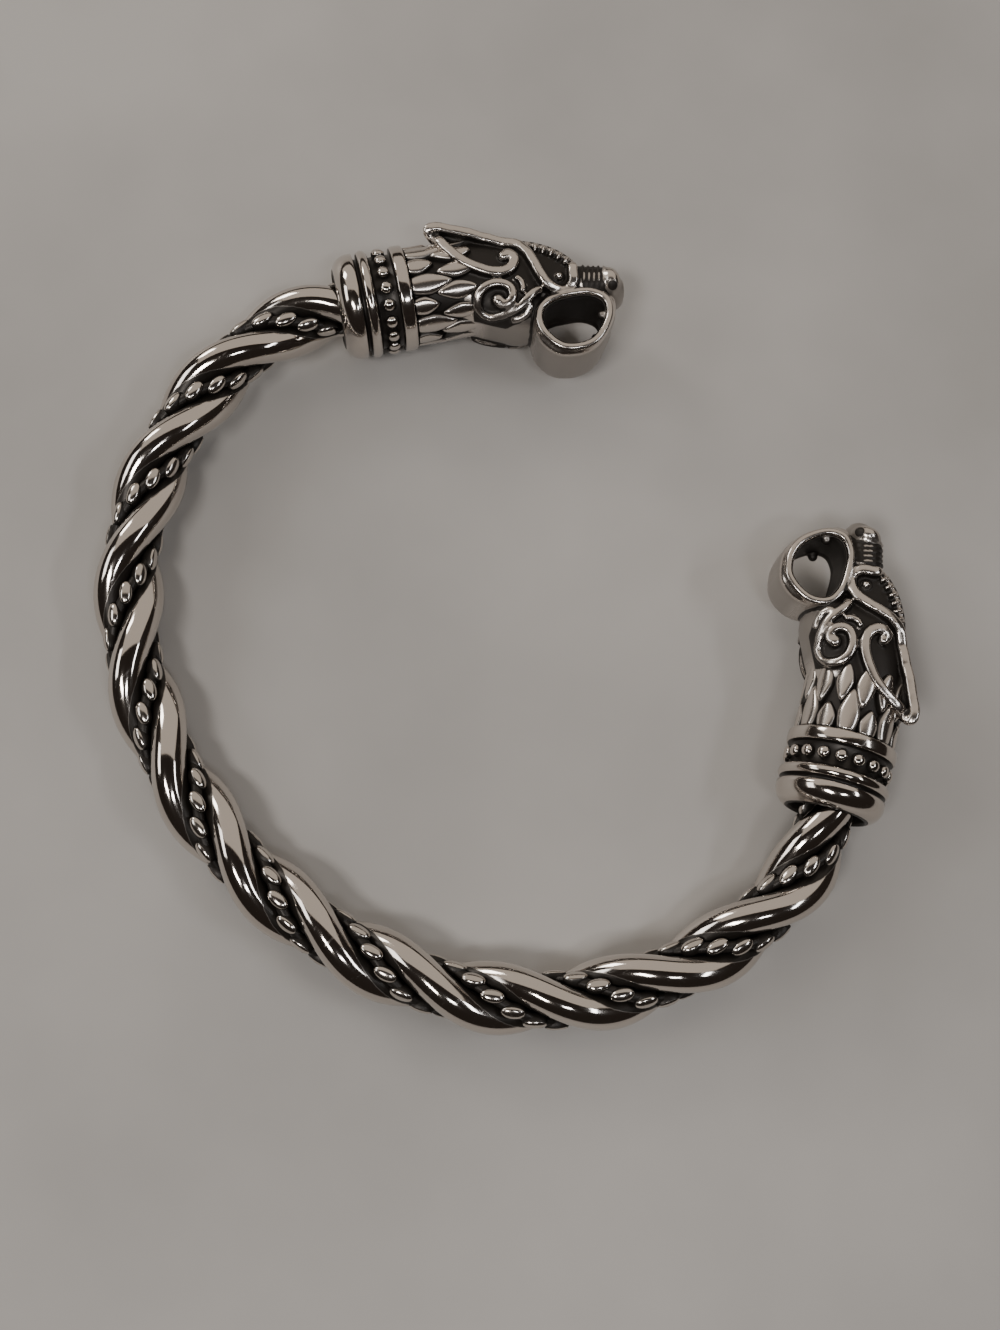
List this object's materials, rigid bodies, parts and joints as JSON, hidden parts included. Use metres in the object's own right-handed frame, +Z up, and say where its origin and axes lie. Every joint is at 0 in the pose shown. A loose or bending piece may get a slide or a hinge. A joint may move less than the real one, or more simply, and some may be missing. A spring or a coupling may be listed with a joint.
{
  "type": "viking arm ring",
  "caption": "Open oval arm ring of two smooth rods and two beaded wires twisted together, with a moulded collar and a beast head at each end.",
  "frame": {"origin": "middle of the footprint on the table that the ring lies on", "axes": "+Z up out of the table, +X across the ring's width towards the upper head of the picture, -Y towards the gap between the heads"},
  "size_m": [0.0784, 0.0677, 0.0107],
  "materials": {
    "polished_steel": "polished stainless steel, lightly scratched",
    "blackened_steel": "stainless steel with blackened hollows and polished high spots"
  },
  "bodies": {
    "root": {"smooth_rod_a": "polished_steel", "smooth_rod_b": "polished_steel", "beaded_wire_a": "blackened_steel", "beaded_wire_b": "blackened_steel", "collar_left": "blackened_steel", "collar_right": "blackened_steel", "head_left": "blackened_steel", "head_right": "blackened_steel"}
  },
  "joints": []
}
